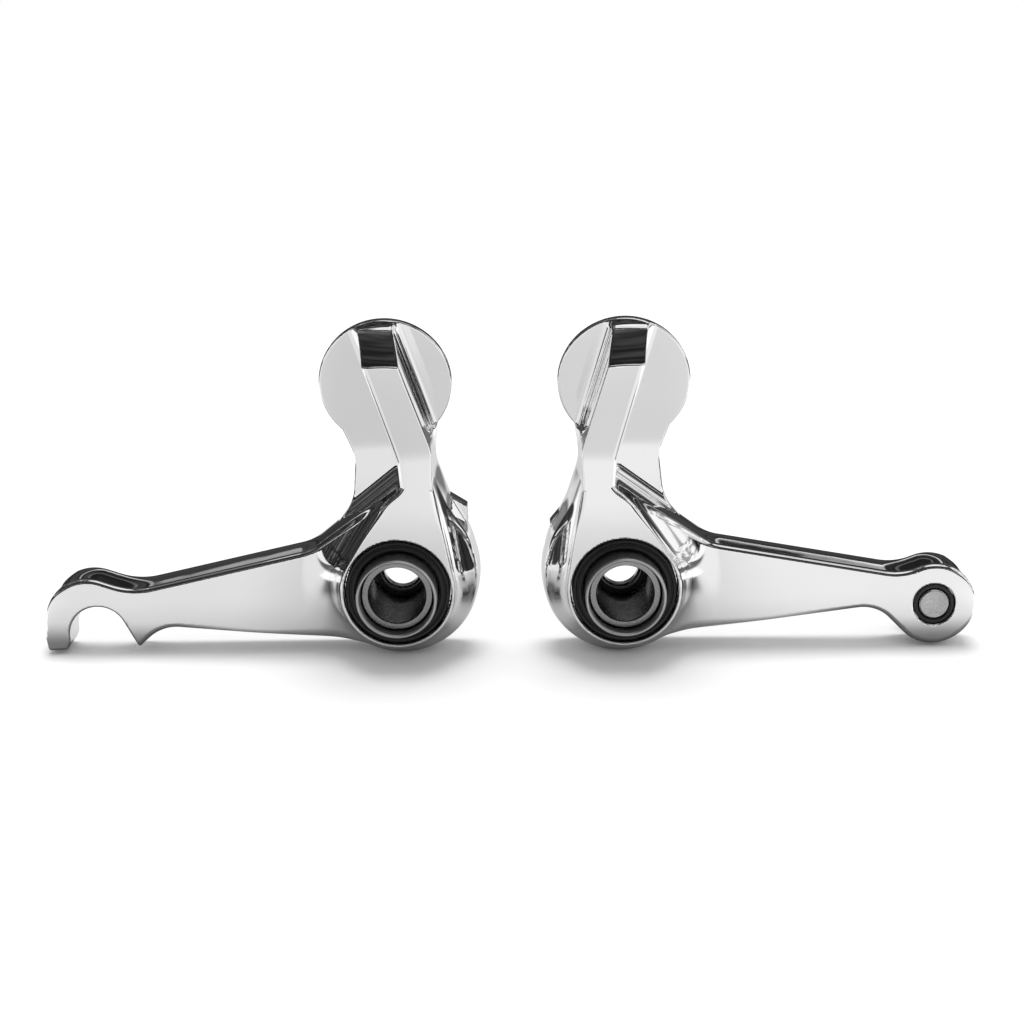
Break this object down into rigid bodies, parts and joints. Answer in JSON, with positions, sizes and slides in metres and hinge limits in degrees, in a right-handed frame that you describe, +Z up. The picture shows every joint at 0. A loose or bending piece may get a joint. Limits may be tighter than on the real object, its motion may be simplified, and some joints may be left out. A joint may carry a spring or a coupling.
{
  "type": "brake and shift lever set",
  "caption": "Polished pedal levers on sleeve pivots: a brake lever whose arm ends in an open hook and a shift lever whose arm ends in a round eye with a link pin.",
  "frame": {"origin": "middle of the bounding box in X and Y, on the surface that the hubs stand on", "axes": "+X from the brake lever to the shift lever, +Y along both pivot axes from the sleeves' front lips to the frame side, +Z up to the paddles"},
  "size_m": [0.2074, 0.033, 0.0746],
  "materials": {
    "polished_metal": "mirror polished",
    "dark_steel": "dark satin",
    "grey_liner": "grey satin",
    "black_rubber": "matte black",
    "bronze": "sintered bronze",
    "bright_steel": "bright turned"
  },
  "bodies": {
    "frame_side": {"brake_pivot_sleeve": "dark_steel", "brake_bolt_liner": "grey_liner", "brake_seal_washer": "black_rubber", "brake_bolt_seat": "bright_steel", "shift_pivot_sleeve": "dark_steel", "shift_bolt_liner": "grey_liner", "shift_seal_washer": "black_rubber", "shift_bolt_seat": "bright_steel"},
    "brake": {"brake_lever": "polished_metal", "brake_front_seal": "black_rubber", "brake_rear_seal": "black_rubber", "brake_front_bush": "bronze", "brake_rear_bush": "bronze"},
    "shift": {"shift_lever": "polished_metal", "shift_front_seal": "black_rubber", "shift_rear_seal": "black_rubber", "shift_front_bush": "bronze", "shift_rear_bush": "bronze", "eye_bush": "black_rubber"},
    "pin": {"link_pin": "bright_steel", "pin_retaining_ring": "dark_steel"}
  },
  "joints": [
    {"name": "brake_pivot", "type": "hinge", "parent": "frame_side", "child": "brake", "pos_m": [-0.02438, 0, 0.0166], "axis": [0, 1, 0], "range_deg": [-22, 8]},
    {"name": "shift_pivot", "type": "hinge", "parent": "frame_side", "child": "shift", "pos_m": [0.02482, 0, 0.0166], "axis": [0, 1, 0], "range_deg": [-12, 12]},
    {"name": "link_pin_turn", "type": "hinge", "parent": "shift", "child": "pin", "pos_m": [0.09422, 0, 0.00995], "axis": [0, 1, 0], "continuous": true}
  ]
}
